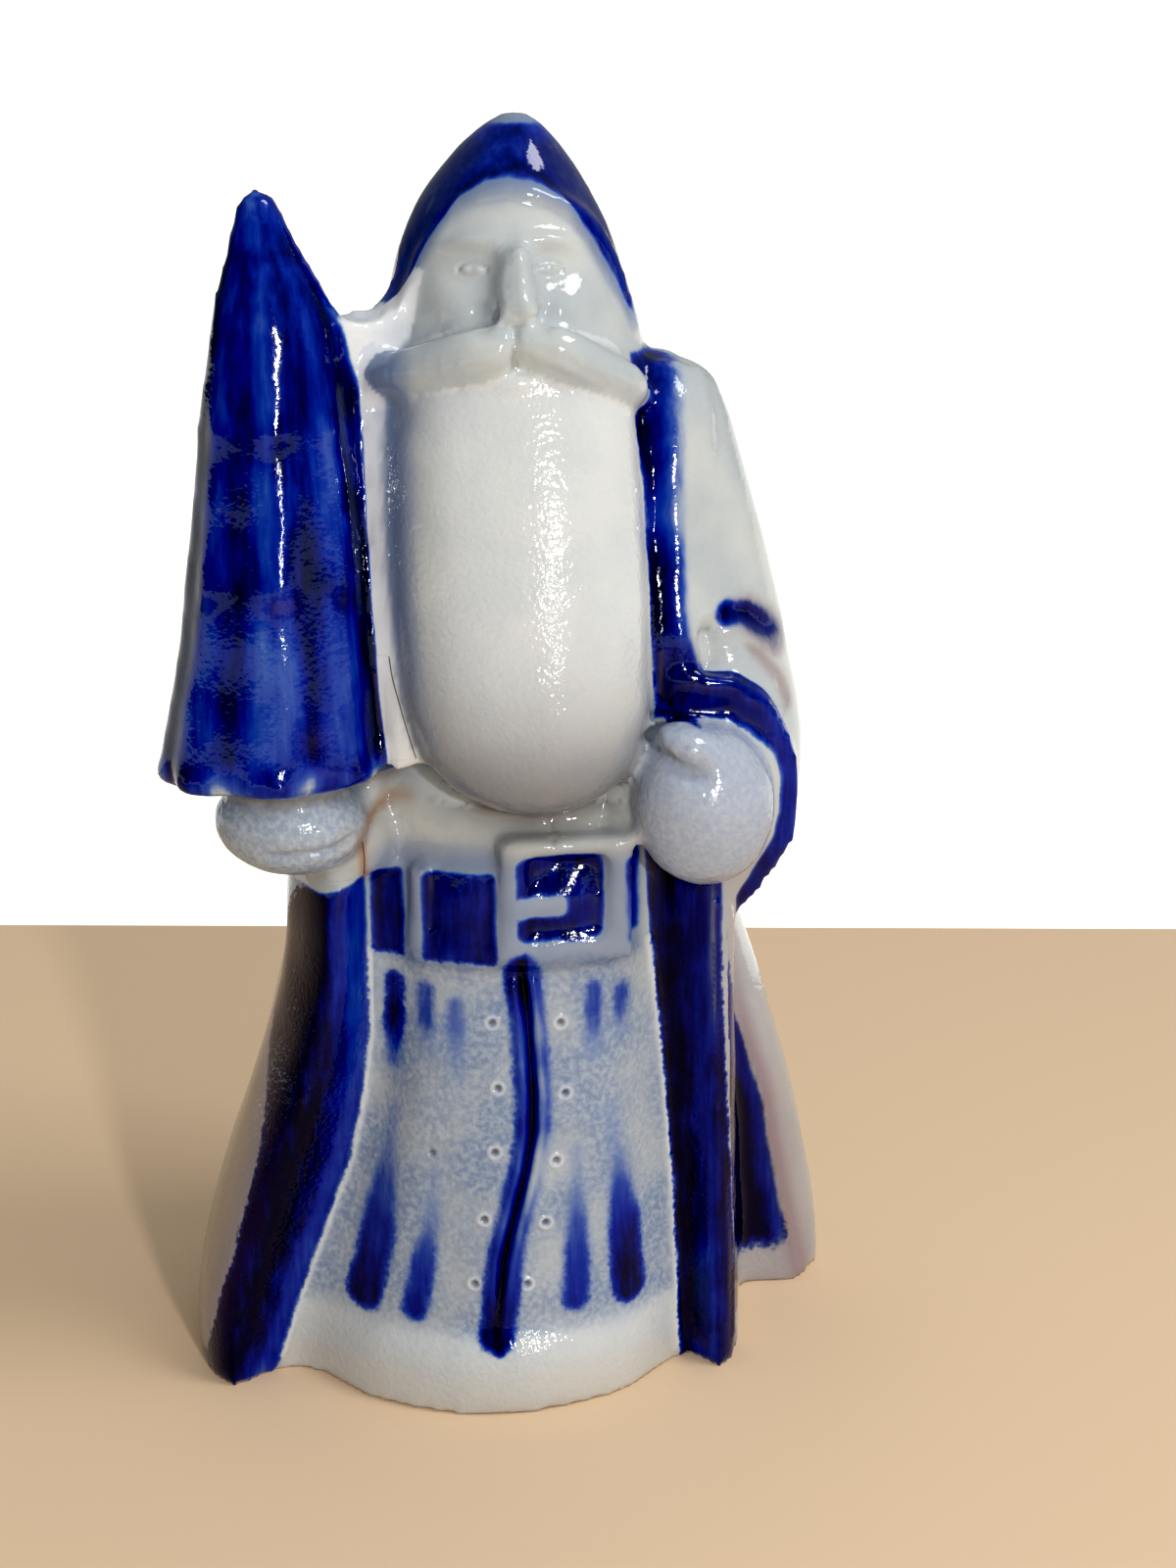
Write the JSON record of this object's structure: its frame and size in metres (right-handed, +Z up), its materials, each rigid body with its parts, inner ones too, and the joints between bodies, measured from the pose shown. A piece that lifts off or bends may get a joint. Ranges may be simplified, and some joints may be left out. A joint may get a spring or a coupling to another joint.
{
  "type": "santa figurine",
  "caption": "Glazed stoneware Father Christmas cast in one piece: hooded, long-bearded figure in a belted robe and open cloak, holding a small fir tree.",
  "frame": {"origin": "middle of the figure's outline, on the surface it stands on", "axes": "+Z up along the figure; -Y the way it faces; the fir tree is on the -X side"},
  "size_m": [0.1206, 0.0792, 0.2202],
  "materials": {
    "figure": "gloss"
  },
  "bodies": {
    "root": {"santa_figure": "figure"}
  },
  "joints": []
}
